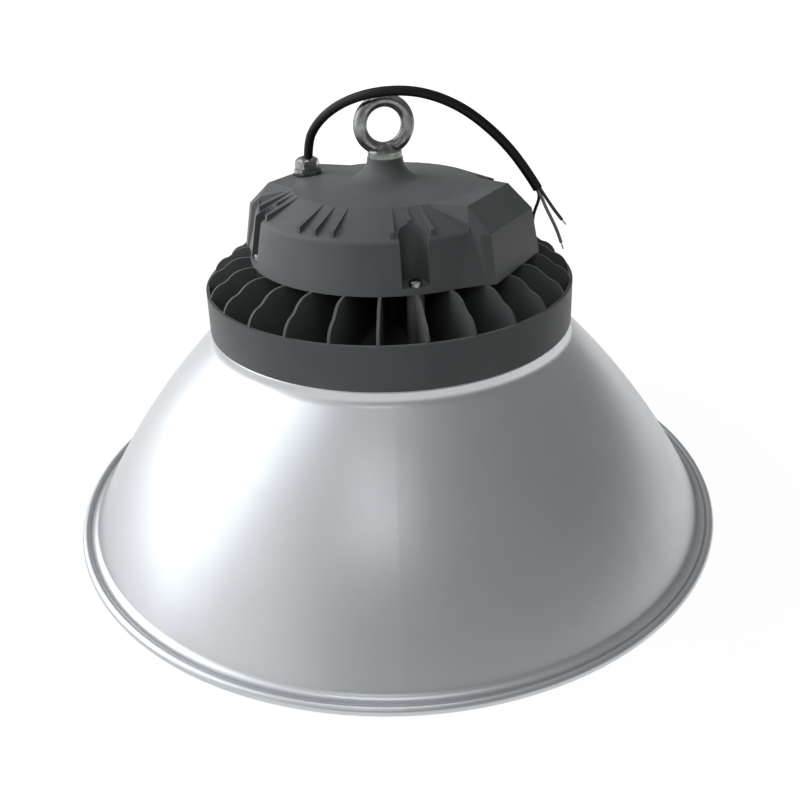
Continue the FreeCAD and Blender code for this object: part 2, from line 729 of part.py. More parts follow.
def build_lens_ring():
    """A turned ring whose lip carries the glass and whose wall is screwed to the heat sink."""
    glass_bottom = SINK_BOTTOM - LENS_GASKET_HEIGHT - GLASS_THICKNESS
    bottom = glass_bottom - LENS_LIP
    seat_radius = GLASS_RADIUS + FIT_GAP
    ring = revolved(outline([
        (seat_radius, SINK_BOTTOM),
        (LENS_RING_RADIUS, SINK_BOTTOM),
        (LENS_RING_RADIUS, bottom + 1),
        (LENS_RING_RADIUS - 1, bottom),
        (LENS_RING_INNER_RADIUS + LENS_LIP, bottom),
        (LENS_RING_INNER_RADIUS, glass_bottom),
        (seat_radius, glass_bottom),
    ]))
    return cut_all(ring, screw_holes(LENS_SCREW, SINK_BOTTOM, lens_screw_places(), SINK_BOTTOM - bottom))


def build_lens_screws():
    seat = SINK_BOTTOM - LENS_GASKET_HEIGHT - GLASS_THICKNESS - LENS_LIP
    return screw_set(LENS_SCREW, seat, lens_screw_places(), -1)


# ---- inside the housing ---------------------------------------------------------------------

def plate_top():
    return HOUSING_BOTTOM + PLATE_THICKNESS


def build_closing_plate():
    plate = plate_outline(SKIRT_WALL + PLATE_GAP, HOUSING_BOTTOM, plate_top())
    places = plate_screw_places() + bracket_screw_places() + [EARTH_PLACE]
    holes = screw_holes(SMALL_SCREW, plate_top(), places, PLATE_THICKNESS)
    holes.append(cylinder(LEAD_HOLE_RADIUS, HOUSING_BOTTOM, plate_top()))
    return turned(cut_all(plate, holes))


def build_housing_gasket():
    bottom = plate_top()
    top = bottom + GASKET_THICKNESS
    outer = plate_outline(SKIRT_WALL + PLATE_GAP, bottom, top)
    inner = plate_outline(HOUSING_WALL, bottom, top)
    return turned(outer.cut(inner))


def build_plate_screws():
    return turned(screw_set(SMALL_SCREW, plate_top(), plate_screw_places()))


def build_housing_screws():
    return screw_set(HOUSING_SCREW, HOUSING_BOTTOM + POCKET_FLOOR, housing_screw_places())


def driver_bottom():
    return plate_top() + DRIVER_LIFT


def bracket_places():
    reach = DRIVER_LENGTH / 2 - 18.0
    return [DRIVER_CENTRE_U - reach, DRIVER_CENTRE_U + reach]


def bracket_screw_places():
    """Foot screws, in U and V."""
    side = DRIVER_WIDTH / 2 + BRACKET_FOOT / 2
    return [Vector(u, v, 0) for u in bracket_places() for v in (-side, side)]


def driver_screw_places():
    side = DRIVER_WIDTH / 2 - 8.0
    return [Vector(u, v, 0) for u in bracket_places() for v in (-side, side)]


def build_driver_brackets():
    """Two folded saddles that lift the driver off the plate and leave room for its lead."""
    low = plate_top()
    high = driver_bottom()
    half = DRIVER_WIDTH / 2
    brackets = []
    for u in bracket_places():
        folds = [
            Vector(u, -half - BRACKET_FOOT, low),
            Vector(u, -half - BRACKET_FOOT, low + BRACKET_SHEET),
            Vector(u, -half, low + BRACKET_SHEET),
            Vector(u, -half, high),
            Vector(u, half, high),
            Vector(u, half, low + BRACKET_SHEET),
            Vector(u, half + BRACKET_FOOT, low + BRACKET_SHEET),
            Vector(u, half + BRACKET_FOOT, low),
            Vector(u, half - BRACKET_SHEET, low),
            Vector(u, half - BRACKET_SHEET, high - BRACKET_SHEET),
            Vector(u, BRACKET_SHEET - half, high - BRACKET_SHEET),
            Vector(u, BRACKET_SHEET - half, low),
        ]
        strip = Part.Face(Part.makePolygon(folds + folds[:1])).extrude(Vector(BRACKET_WIDTH, 0, 0))
        strip.translate(Vector(-BRACKET_WIDTH / 2, 0, 0))
        brackets.append(strip)
    holes = screw_holes(SMALL_SCREW, low + BRACKET_SHEET, bracket_screw_places(), BRACKET_SHEET)
    holes += screw_holes(SMALL_SCREW, high, driver_screw_places(), BRACKET_SHEET)
    return turned(Part.makeCompound([strip.cut(Part.makeCompound(holes)) for strip in brackets]))


def build_driver_screws():
    size = SMALL_SCREW[:3] + (BRACKET_SHEET + PLATE_THICKNESS - 0.1,)
    low = plate_top() + BRACKET_SHEET
    high = driver_bottom() - BRACKET_SHEET
    feet = screw_set(size, low, bracket_screw_places())
    tops = screw_set(size, high, driver_screw_places(), -1)
    return turned(Part.makeCompound(feet.Solids + tops.Solids))


def build_led_driver():
    """The driver's extruded case with end caps standing a little inside it."""
    low = driver_bottom()
    high = low + DRIVER_HEIGHT
    case = block(DRIVER_LENGTH, DRIVER_WIDTH, low, high, DRIVER_CENTRE_U)
    long_edges = [edge for edge in case.Edges if abs(edge.tangentAt(0).x) > 0.99]
    case = case.makeFillet(DRIVER_EDGE_RADIUS, long_edges)
    grooves = []
    for v in (-1, 0, 1):
        grooves.append(block(DRIVER_LENGTH, 3.0, high - 1.5, high, DRIVER_CENTRE_U, v * DRIVER_WIDTH / 4))
    holes = screw_holes(SMALL_SCREW, low, driver_screw_places(), 3.5, -1)
    return turned(cut_all(case, grooves + holes))


def build_lead_grommet():
    top = plate_top()
    body = cylinder(LEAD_HOLE_RADIUS - THREAD_CLEARANCE, HOUSING_BOTTOM, top)
    flange = cylinder(LEAD_HOLE_RADIUS + 2.0, top, top + 1.2)
    bore = cylinder(LEAD_RADIUS + THREAD_CLEARANCE, HOUSING_BOTTOM, top + 1.2)
    return body.fuse(flange).cut(bore).removeSplitter()


def build_output_lead():
    """From the driver's end, back under it, and down the hub to the light sources' board."""
    end = DRIVER_CENTRE_U + DRIVER_LENGTH / 2
    middle = driver_bottom() + DRIVER_HEIGHT * 0.5
    low = driver_bottom() - BRACKET_SHEET - LEAD_RADIUS - FIT_GAP
    board = SINK_BOTTOM - BOARD_THICKNESS - CONNECTOR_HEIGHT * 0.6
    route = [
        Vector(end, 0, middle),
        Vector(end + 10, 0, middle),
        Vector(end + 15, 0, (middle + low) / 2),
        Vector(end + 10, 0, low),
        Vector(5, 0, low),
        Vector(0, 0, low - 4),
        Vector(0, 0, board),
        Vector(CONNECTOR_PLACE, 0, board),
    ]
    return turned(lead("output_lead", route, LEAD_RADIUS))


def build_input_lead():
    """From the driver's other end, along the plate, to the terminal block."""
    end = DRIVER_CENTRE_U - DRIVER_LENGTH / 2
    high = driver_bottom() + 6
    low = plate_top() + LEAD_RADIUS + 1.0
    face = TERMINAL_U - TERMINAL_LENGTH / 2
    route = [
        Vector(end, -14, high),
        Vector(end - 9, -14, high),
        Vector(end - 19, -7, low + 4),
        Vector(end - 28, 8, low),
        Vector(end - 29, 27, low + 0.5),
        Vector(end - 24, 42, low),
        Vector(face - 7, TERMINAL_V, low),
        Vector(face, TERMINAL_V, low),
    ]
    return turned(lead("input_lead", route, LEAD_RADIUS))


def build_terminal_block():
    low = plate_top()
    high = low + TERMINAL_HEIGHT
    body = block(TERMINAL_LENGTH, TERMINAL_WIDTH, low, high, TERMINAL_U, TERMINAL_V)
    wells = []
    for pole in (-1, 0, 1):
        u = TERMINAL_U + pole * TERMINAL_LENGTH / 3
        wells.append(cylinder(2.2, high - 5, high, u, TERMINAL_V))
        mouth = Part.makeCylinder(
            CORE_RADIUS + 0.6, 5, Vector(u, TERMINAL_V - TERMINAL_WIDTH / 2, low + 7), Vector(0, 1, 0))
        wells.append(mouth)
    return turned(cut_all(body, wells))


def build_inner_cores():
    """The cable's cores inside the housing: two to the terminal block and one to the earth lug."""
    face = TERMINAL_V - TERMINAL_WIDTH / 2
    entry = plate_top() + 7.0
    pole = TERMINAL_U - TERMINAL_LENGTH / 3
    start = INNER_JACKET_END
    offset = CORE_SPREAD
    line_route = [
        Vector(GLAND_U - offset, 0, start),
        Vector(GLAND_U - offset, 0, start - 9),
        Vector(pole - 8, 14, entry + 5),
        Vector(pole, face - 8, entry),
        Vector(pole, face + 3, entry),
    ]
    neutral_route = [
        Vector(GLAND_U + offset / 2, offset * 0.87, start),
        Vector(GLAND_U + offset / 2, offset * 0.87, start - 8),
        Vector(TERMINAL_U - 8, 14, entry + 8),
        Vector(TERMINAL_U, face - 8, entry),
        Vector(TERMINAL_U, face + 3, entry),
    ]
    earth_route = [
        Vector(GLAND_U + offset / 2, -offset * 0.87, start),
        Vector(GLAND_U + offset / 2, -offset * 0.87, start - 6),
        Vector(GLAND_U + 12, 8, start - 9),
        Vector(GLAND_U + 26, 26, start - 6),
        Vector(EARTH_PLACE.x - 18, EARTH_PLACE.y - 6, plate_top() + 22),
        Vector(EARTH_PLACE.x - 13, EARTH_PLACE.y, plate_top() + 4),
        Vector(EARTH_PLACE.x - 7.0, EARTH_PLACE.y, plate_top() + CORE_RADIUS),
    ]
    routes = {"inner_line": line_route, "inner_neutral": neutral_route, "inner_earth": earth_route}
    cores = [lead(name, route, CORE_RADIUS) for name, route in routes.items()]
    return turned(Part.makeCompound(cores))


def build_earth_lug():
    """A ring tongue under the earth screw, with a neck toward the earth core."""
    low = plate_top()
    high = low + LUG_THICKNESS
    hole = SMALL_SCREW[0] + THREAD_CLEARANCE
    tongue = tube_ring(LUG_RADIUS, hole, low, high, EARTH_PLACE.x, EARTH_PLACE.y)
    neck = block(LUG_NECK, 3.0, low, high, EARTH_PLACE.x - LUG_RADIUS + 0.5 - LUG_NECK / 2, EARTH_PLACE.y)
    return turned(tongue.fuse(neck).removeSplitter())


def build_earth_screw():
    size = SMALL_SCREW[:3] + (LUG_THICKNESS + PLATE_THICKNESS - 0.1,)
    return turned(pan_screw(size, plate_top() + LUG_THICKNESS, EARTH_PLACE.x, EARTH_PLACE.y))


# ---- eye bolt -------------------------------------------------------------------------------

def build_eye_bolt():
    axis = polar(1.0, EYE_TURN + 90)
    ring = Part.makeTorus(EYE_RING_RADIUS, EYE_BAR_RADIUS, Vector(0, 0, EYE_CENTRE_Z), axis)
    collar_top = BOSS_TOP + EYE_COLLAR_HEIGHT
    collar = cylinder(EYE_COLLAR_RADIUS, BOSS_TOP, collar_top)
    upper = [edge for edge in collar.Edges if edge.Closed and abs(edge.CenterOfMass.z - collar_top) < 1e-6]
    collar = collar.makeFillet(EYE_COLLAR_HEIGHT * 0.35, upper)
    neck_foot = EYE_COLLAR_RADIUS * 0.8
    neck_top = EYE_BAR_RADIUS * 0.92
    neck = Part.makeCone(neck_foot, neck_top, EYE_NECK_HEIGHT, Vector(0, 0, collar_top))
    shank = cylinder(EYE_SHANK_RADIUS, BOSS_TOP - EYE_SHANK_LENGTH, BOSS_TOP)
    return fuse_all([ring, collar, neck, shank])


# ---- cable gland ----------------------------------------------------------------------------

def gland_place():
    return turned_point(GLAND_U, 0)


def build_gland_washer():
    place = gland_place()
    outer = GLAND_SEAT_RADIUS - FIT_GAP
    return tube_ring(outer, GLAND_THREAD_RADIUS + THREAD_CLEARANCE, HOUSING_TOP,
                     HOUSING_TOP + GLAND_WASHER_HEIGHT, place.x, place.y)


def gland_hex_top():
    return HOUSING_TOP + GLAND_WASHER_HEIGHT + GLAND_HEX_HEIGHT


def build_gland_body():
    place = gland_place()
    low = HOUSING_TOP - GLAND_THREAD_LENGTH
    hex_low = HOUSING_TOP + GLAND_WASHER_HEIGHT
    top = gland_hex_top()
    collar_top = top + GLAND_CAP_HEIGHT * 0.4
    body = fuse_all([
        hexagon(GLAND_HEX_FLATS, hex_low, top, place.x, place.y, GLAND_HEX_TURN),
        cylinder(GLAND_THREAD_RADIUS, low, hex_low, place.x, place.y),
        cylinder(GLAND_COLLAR_RADIUS, top, collar_top, place.x, place.y),
    ])
    bore = cylinder(CABLE_RADIUS + FIT_GAP, low, top, place.x, place.y)
    pocket = cylinder(SEAL_RADIUS + THREAD_CLEARANCE, top, collar_top, place.x, place.y)
    return cut_all(body, [bore, pocket])


def build_gland_seal():
    place = gland_place()
    low = gland_hex_top()
    high = low + GLAND_CAP_HEIGHT - 2.0
    return tube_ring(SEAL_RADIUS, CABLE_RADIUS + THREAD_CLEARANCE, low, high, place.x, place.y)


def build_gland_cap():
    """A hexagonal dome nut that closes on the seal."""
    place = gland_place()
    low = gland_hex_top() + FIT_GAP
    top = gland_hex_top() + GLAND_CAP_HEIGHT
    corner = GLAND_CAP_FLATS / math.sqrt(3)
    shoulder = top - GLAND_CAP_HEIGHT * 0.5
    crown = CABLE_RADIUS + 2.2
    brow = profile_point(corner - 1.6, top - 1.5)
    dome = revolved([
        line(profile_point(0, low), profile_point(corner, low)),
        line(profile_point(corner, low), profile_point(corner, shoulder)),
        arc(profile_point(corner, shoulder), brow, profile_point(crown, top)),
        line(profile_point(crown, top), profile_point(0, top)),
        line(profile_point(0, top), profile_point(0, low)),
    ])
    dome.translate(place)
    nut = hexagon(GLAND_CAP_FLATS, low, top, place.x, place.y, GLAND_CAP_TURN).common(dome)
    seal_top = gland_hex_top() + GLAND_CAP_HEIGHT - 2.0
    collar_top = gland_hex_top() + GLAND_CAP_HEIGHT * 0.4
    hollows = [
        cylinder(GLAND_COLLAR_RADIUS + THREAD_CLEARANCE, low, collar_top + FIT_GAP, place.x, place.y),
        cylinder(SEAL_RADIUS + THREAD_CLEARANCE, low, seal_top, place.x, place.y),
        cylinder(CABLE_RADIUS + FIT_GAP, low, top, place.x, place.y),
    ]
    return cut_all(nut, hollows)


def build_gland_locknut():
    place = gland_place()
    top = HOUSING_TOP - HOUSING_WALL
    low = top - LOCKNUT_HEIGHT
    nut = hexagon(LOCKNUT_FLATS, low, top, place.x, place.y, BLOCK_TURN + 30)
    return nut.cut(cylinder(GLAND_THREAD_RADIUS + THREAD_CLEARANCE, low, top, place.x, place.y))


# ---- cable ----------------------------------------------------------------------------------

def cable_route():
    """From inside the gland, up and over in front of the eye, and down past the block's end."""
    place = gland_place()
    return [
        Vector(place.x, place.y, INNER_JACKET_END),
        Vector(place.x, place.y, 274),
        Vector(-49.5, 28, 294),
        Vector(-28.5, 2, 312),
        Vector(-2, -18.5, 321.5),
        Vector(26, -21.5, 320.8),
        Vector(53.5, -22.5, 309.8),
        Vector(78, -21, 289.8),
        Vector(97, -17.8, 267.4),
        JACKET_END,
    ]


def core_routes():
    """The three stripped cores that spring from the end of the jacket."""
    line_route = [
        Vector(108.4, -14.7, 247.5),
        Vector(110.7, -14.4, 243.9),
        Vector(111.0, -10.8, 237.3),
        Vector(109.2, -6.4, 229.4),
        Vector(108.4, -2.4, 221.6),
        Vector(108.8, 0.6, 214.2),
    ]
    neutral_route = [
        Vector(110.3, -16.0, 248.6),
        Vector(113.4, -15.5, 243.6),
        Vector(117.6, -16.2, 237.4),
        Vector(121.8, -16.6, 231.0),
        Vector(127.4, -16.2, 223.9),
    ]
    earth_route = [
        Vector(108.45, -17.25, 247.5),
        Vector(111.6, -16.8, 242.4),
        Vector(114.4, -20.2, 235.0),
        Vector(118.6, -23.4, 226.6),
        Vector(122.8, -25.4, 217.6),
        Vector(125.4, -26.2, 209.6),
    ]
    return {"core_line": line_route, "core_neutral": neutral_route, "core_earth": earth_route}


def build_copper_tips():
    """The bare strands at the end of each core."""
    tips = []
    for route in core_routes().values():
        direction = route[-1] - route[-2]
        tips.append(Part.makeCylinder(COPPER_RADIUS, COPPER_LENGTH, route[-1], direction))
    return Part.makeCompound(tips)


# ---- the whole lamp -------------------------------------------------------------------------

def build_nodes():
    nodes = {
        "reflector": build_reflector(),
        "reflector_screws": build_reflector_screws(),
        "heat_sink": build_heat_sink(),
        "driver_housing": build_driver_housing(),
        "housing_screws": build_housing_screws(),
        "closing_plate": build_closing_plate(),
        "housing_gasket": build_housing_gasket(),
        "plate_screws": build_plate_screws(),
        "led_driver": build_led_driver(),
        "driver_brackets": build_driver_brackets(),
        "driver_screws": build_driver_screws(),
        "terminal_block": build_terminal_block(),
        "earth_screw": build_earth_screw(),
        "earth_lug": build_earth_lug(),
        "inner_cores": build_inner_cores(),
        "input_lead": build_input_lead(),
        "output_lead": build_output_lead(),
        "lead_grommet": build_lead_grommet(),
        "led_board": build_led_board(),
        "led_chips": build_led_chips(),
        "board_screws": build_board_screws(),
        "board_connector": build_board_connector(),
        "lens_gasket": build_lens_gasket(),
        "lens_cover": build_lens_cover(),
        "lens_ring": build_lens_ring(),
        "lens_screws": build_lens_screws(),
        "eye_bolt": build_eye_bolt(),
        "gland_washer": build_gland_washer(),
        "gland_body": build_gland_body(),
        "gland_seal": build_gland_seal(),
        "gland_cap": build_gland_cap(),
        "gland_locknut": build_gland_locknut(),
        "mains_cable": lead("mains_cable", cable_route(), CABLE_RADIUS),
        "copper_tips": build_copper_tips(),
    }
    for name, route in core_routes().items():
        nodes[name] = lead(name, route, CORE_RADIUS)
    return nodes


def main():
    os.makedirs("parts", exist_ok=True)
    for name, shape in build_nodes().items():
        if not shape.isValid():
            print("not valid:", name)
        shape.exportStep("parts/%s.step" % name)


main()
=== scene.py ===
import json
import math

import bpy
from mathutils import Matrix, Vector


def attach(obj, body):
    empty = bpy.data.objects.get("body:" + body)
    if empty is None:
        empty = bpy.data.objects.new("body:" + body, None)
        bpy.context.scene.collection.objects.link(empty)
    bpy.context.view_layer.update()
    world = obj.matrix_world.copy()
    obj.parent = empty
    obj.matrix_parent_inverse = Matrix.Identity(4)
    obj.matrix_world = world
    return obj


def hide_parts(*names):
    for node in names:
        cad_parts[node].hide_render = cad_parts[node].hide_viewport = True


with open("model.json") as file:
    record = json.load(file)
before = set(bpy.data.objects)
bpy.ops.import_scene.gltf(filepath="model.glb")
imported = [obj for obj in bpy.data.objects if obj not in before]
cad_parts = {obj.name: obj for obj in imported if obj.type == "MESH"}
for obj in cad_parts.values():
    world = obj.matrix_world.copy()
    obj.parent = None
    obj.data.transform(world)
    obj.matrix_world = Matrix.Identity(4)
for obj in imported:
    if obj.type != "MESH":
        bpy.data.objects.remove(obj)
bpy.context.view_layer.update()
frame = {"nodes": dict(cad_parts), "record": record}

# ---- sizes, in metres -----------------------------------------------------------------------

CABLE_RADIUS = 0.0035
CORE_RADIUS = 0.0012
COPPER_RADIUS = 0.0006
COPPER_LENGTH = 0.005
STRAND_RADIUS = 0.00026
STRAND_COUNT = 7
STRAND_STEPS = 8
STRAND_TWIST = 1.6
STRAND_SHORTER = 0.06

LINE_LENGTH = 0.0375
NEUTRAL_LENGTH = 0.030
EARTH_LENGTH = 0.0428

CABLE_ROUTE = (
    (-0.0600, 0.0361, 0.2360),
    (-0.0600, 0.0361, 0.2740),
    (-0.0495, 0.0280, 0.2940),
    (-0.0285, 0.0020, 0.3120),
    (-0.0020, -0.0185, 0.3215),
    (0.0260, -0.0215, 0.3208),
    (0.0535, -0.0225, 0.3098),
    (0.0780, -0.0210, 0.2898),
    (0.0970, -0.0178, 0.2674),
    (0.1090, -0.0160, 0.2480),
)
LINE_ROUTE = (
    (0.1084, -0.0147, 0.2475),
    (0.1107, -0.0144, 0.2439),
    (0.1110, -0.0108, 0.2373),
    (0.1092, -0.0064, 0.2294),
    (0.1084, -0.0024, 0.2216),
    (0.1088, 0.0006, 0.2142),
)
NEUTRAL_ROUTE = (
    (0.1103, -0.0160, 0.2486),
    (0.1134, -0.0155, 0.2436),
    (0.1176, -0.0162, 0.2374),
    (0.1218, -0.0166, 0.2310),
    (0.1274, -0.0162, 0.2239),
)
EARTH_ROUTE = (
    (0.1085, -0.0173, 0.2475),
    (0.1116, -0.0168, 0.2424),
    (0.1144, -0.0202, 0.2350),
    (0.1186, -0.0234, 0.2266),
    (0.1228, -0.0254, 0.2176),
    (0.1254, -0.0262, 0.2096),
)

# each bend of the reflector: its centre's distance from the axis, its centre's height and its own
# radius, and 1 where the skin faces away from that centre or -1 where it faces it
REFLECTOR_BENDS = [
    (0.13360, 0.14860, 0.00270, 1),
    (0.13360, 0.14860, 0.00120, -1),
    (0.14602, 0.14630, 0.00972, -1),
    (0.14455, 0.14570, 0.00975, 1),
    (0.24270, 0.01036, 0.00576, -1),
    (0.24150, 0.00885, 0.00575, 1),
]
BEND_SLACK = 0.00004

# ---- camera ---------------------------------------------------------------------------------

CAMERA_PLACE = (0.0, -0.6321, 0.4086)
CAMERA_ELEVATION = 20.94
CAMERA_ROLL = -2.03
CAMERA_LENS = 39.56
CAMERA_SENSOR = 36.0
CAMERA_NEAR = 0.01
CAMERA_SHIFT = (0.0129, -0.1363)

# ---- studio ---------------------------------------------------------------------------------

FLOOR_HALF = 60.0
FLOOR_LIGHT = (0.38, 0.38, 0.38, 1.0)
FLOOR_DARK = (0.36, 0.36, 0.36, 1.0)
FLOOR_GLOW = 1.2
# the floor's glow fades in between these distances, and has these shares at them
GLOW_NEAR, GLOW_FAR = 0.3, 1.6
GLOW_SHARE_NEAR, GLOW_SHARE_FAR = 0.8, 1.0

WHITE = (1.0, 1.0, 1.0, 1.0)
# the window's strength falls to nothing between these directions along X
WINDOW_STRENGTH = 0.5
WINDOW_START, WINDOW_END = -0.9, -0.2
# the room's strength where it is seen or mirrored, from left to right, and for all other light
ROOM_LEFT, ROOM_RIGHT = 0.56, 0.27
ROOM_LIGHT = 0.15

LAMP_TARGET = (0.0, 0.0, 0.15)
LAMP_TINT = (0.95, 0.98, 1.0)
# each lamp's name, place, width and power
LAMPS = (
    ("left_softbox", (-1.65, 0.25, 1.1), 2.2, 24.0),
    ("high_softbox", (-0.1, -0.35, 1.9), 0.7, 3.0),
    ("front_softbox", (-0.2, -1.2, 1.1), 0.5, 0.9),
)


# ---- node graph helpers ---------------------------------------------------------------------

def add(tree, kind, inputs=None, **settings):
    """Add a node. An input that is a socket is linked, and any other value is set on it."""
    made = tree.nodes.new(kind)
    for name, value in settings.items():
        setattr(made, name, value)
    for name, value in (inputs or {}).items():
        if isinstance(value, bpy.types.NodeSocket):
            tree.links.new(value, made.inputs[name])
        else:
            made.inputs[name].default_value = value
    return made


def rgb(red, green, blue):
    """A colour as it is seen, from 0 to 255, turned into scene-linear values."""
    def linear(value):
        value = value / 255
        return value / 12.92 if value <= 0.04045 else ((value + 0.055) / 1.055) ** 2.4
    return (linear(red), linear(green), linear(blue), 1.0)


def object_place(tree):
    return add(tree, "ShaderNodeTexCoord").outputs["Object"]


def calc(tree, operation, first, second=0.0):
    return add(tree, "ShaderNodeMath", {0: first, 1: second}, operation=operation).outputs[0]


def noise(tree, place, scale, detail=3.0, roughness=0.55):
    inputs = {"Vector": place, "Scale": scale, "Detail": detail, "Roughness": roughness}
    return add(tree, "ShaderNodeTexNoise", inputs).outputs[0]


def spread(tree, value, low, high, to_low=0.0, to_high=1.0):
    """Map the range from low to high onto another range, and hold it there beyond the ends."""
    inputs = {
        "Value": value,
        "From Min": low,
        "From Max": high,
        "To Min": to_low,
        "To Max": to_high,
    }
    return add(tree, "ShaderNodeMapRange", inputs).outputs[0]


def blend_colour(tree, factor, first, second):
    """Mix two colours; 6 and 7 are the Mix node's colour inputs, and 2 its colour output."""
    mix = add(tree, "ShaderNodeMix", {0: factor, 6: first, 7: second}, data_type="RGBA")
    return mix.outputs[2]


def bump(tree, height, distance, strength=1.0, below=None):
    inputs = {"Height": height, "Distance": distance, "Strength": strength}
    if below is not None:
        inputs["Normal"] = below
    return add(tree, "ShaderNodeBump", inputs).outputs[0]


def shader(name, **inputs):
    """A new material with these values on its Principled shader, with its tree and that shader."""
    material = bpy.data.materials.new(name)
    material.use_nodes = True
    tree = material.node_tree
    principled = tree.nodes["Principled BSDF"]
    for key, value in inputs.items():
        principled.inputs[key.replace("_", " ")].default_value = value
    return material, tree, principled


def connect(tree, principled, **sockets):
    """Link each socket to the Principled shader's input of that name."""
    for key, socket in sockets.items():
        tree.links.new(socket, principled.inputs[key.replace("_", " ")])


# ---- materials ------------------------------------------------------------------------------

def cast_paint(name, colour, shade, roughness):
    """Satin powder coat on a die casting: fine orange peel over faint mottling."""
    material, tree, principled = shader(name, Specular_IOR_Level=0.14)
    place = object_place(tree)
    clouds = spread(tree, noise(tree, place, 14.0, 4.0), 0.35, 0.65)
    grain = noise(tree, place, 900.0, 2.0)
    tint = blend_colour(tree, clouds, colour, shade)
    tint = blend_colour(tree, spread(tree, grain, 0.35, 0.65, 0.0, 0.25), tint, shade)
    gloss = spread(tree, grain, 0.3, 0.7, roughness - 0.04, roughness + 0.06)
    peel = bump(tree, grain, 0.00010, 0.45)
    skin = bump(tree, noise(tree, place, 90.0, 2.0), 0.0003, 0.2, peel)
    connect(tree, principled, Base_Color=tint, Roughness=gloss, Normal=skin)
    return material


def spun_aluminium(name):
    """Satin spun sheet: hairlines that run round the axis, and a little haze."""
    material, tree, principled = shader(name, Metallic=1.0, Anisotropic=0.15)
    place = object_place(tree)
    parts = add(tree, "ShaderNodeSeparateXYZ", {0: place}).outputs
    radius = calc(tree, "SQRT", calc(tree, "ADD", calc(tree, "MULTIPLY", parts[0], parts[0]),
                                     calc(tree, "MULTIPLY", parts[1], parts[1])))
    along = calc(tree, "SUBTRACT", radius, parts[2])
    rings = add(tree, "ShaderNodeTexNoise", {"W": along, "Scale": 1500.0, "Detail": 3.0},
                noise_dimensions="1D").outputs[0]
    haze = spread(tree, noise(tree, place, 9.0, 4.0), 0.35, 0.65)
    tint = blend_colour(tree, haze, rgb(203, 206, 209), rgb(194, 197, 200))
    tint = blend_colour(tree, spread(tree, rings, 0.3, 0.7, 0.0, 0.10), tint, rgb(164, 167, 171))
    gloss = spread(tree, haze, 0.0, 1.0, 0.34, 0.38)
    groove = bump(tree, rings, 0.00001, 0.4)
    around = add(tree, "ShaderNodeTangent", direction_type="RADIAL", axis="Z").outputs[0]
    connect(tree, principled, Base_Color=tint, Roughness=gloss, Normal=groove, Tangent=around)
    return material


def plated_metal(name, colour, shade, roughness, scale):
    """Bright plating over a turned or forged blank, with soft stains and hairline marks."""
    material, tree, principled = shader(name, Metallic=1.0)
    place = object_place(tree)
    stain = spread(tree, noise(tree, place, scale, 4.0), 0.35, 0.7)
    hairs = noise(tree, place, scale * 18, 2.0)
    tint = blend_colour(tree, stain, colour, shade)
    gloss = spread(tree, stain, 0.0, 1.0, roughness - 0.04, roughness + 0.08)
    marks = bump(tree, hairs, 0.00002, 0.5)
    dents = bump(tree, noise(tree, place, scale * 1.5, 1.0), 0.00015, 0.3, marks)
    connect(tree, principled, Base_Color=tint, Roughness=gloss, Normal=dents)
    return material


def moulded(name, colour, shade, roughness, **inputs):
    """Moulded or extruded plastic and rubber: fine grain, soft rubbed patches."""
    material, tree, principled = shader(name, **inputs)
    place = object_place(tree)
    rubbed = spread(tree, noise(tree, place, 60.0, 4.0), 0.4, 0.68)
    grain = noise(tree, place, 1400.0, 3.0)
    tint = blend_colour(tree, rubbed, colour, shade)
    gloss = spread(tree, rubbed, 0.0, 1.0, roughness, roughness + 0.12)
    skin = bump(tree, grain, 0.00006, 0.6)
    connect(tree, principled, Base_Color=tint, Roughness=gloss, Normal=skin)
    return material


def sheet_metal(name, colour, shade, roughness):
    """Rolled sheet with a straight grain along one way."""
    material, tree, principled = shader(name, Metallic=1.0, Anisotropic=0.4)
    place = object_place(tree)
    stretch = {"Vector": place, "Scale": (30.0, 1600.0, 1600.0)}
    stretched = add(tree, "ShaderNodeMapping", stretch).outputs[0]
    grain = noise(tree, stretched, 1.0, 3.0)
    patches = spread(tree, noise(tree, place, 22.0, 3.0), 0.35, 0.65)
    tint = blend_colour(tree, patches, colour, shade)
    gloss = spread(tree, grain, 0.3, 0.7, roughness - 0.05, roughness + 0.08)
    skin = bump(tree, grain, 0.00003, 0.4)
    connect(tree, principled, Base_Color=tint, Roughness=gloss, Normal=skin)
    return material


def phosphor(name):
    """Yellow silicone over the light sources, with grains of phosphor in it."""
    depth = (0.001, 0.0008, 0.0003)
    material, tree, principled = shader(name, Subsurface_Weight=0.2, Subsurface_Radius=depth)
    place = object_place(tree)
    grains = spread(tree, noise(tree, place, 2500.0, 2.0), 0.4, 0.65)
    tint = blend_colour(tree, grains, rgb(238, 206, 84), rgb(246, 226, 140))
    gloss = spread(tree, grains, 0.0, 1.0, 0.25, 0.4)
    skin = bump(tree, grains, 0.00004, 0.4)
    connect(tree, principled, Base_Color=tint, Roughness=gloss, Normal=skin)
    return material


def cover_glass(name):
    """Clear toughened glass with a trace of dust and roller wave."""
    material, tree, principled = shader(name, Transmission_Weight=1.0, IOR=1.5)
    place = object_place(tree)
    dust = spread(tree, noise(tree, place, 500.0, 3.0), 0.55, 0.8)
    tint = blend_colour(tree, dust, (0.96, 0.98, 0.97, 1.0), (0.86, 0.87, 0.86, 1.0))
    gloss = spread(tree, dust, 0.0, 1.0, 0.02, 0.14)
    wave = bump(tree, noise(tree, place, 16.0, 1.0), 0.0002, 0.15)
    connect(tree, principled, Base_Color=tint, Roughness=gloss, Normal=wave)
    return material


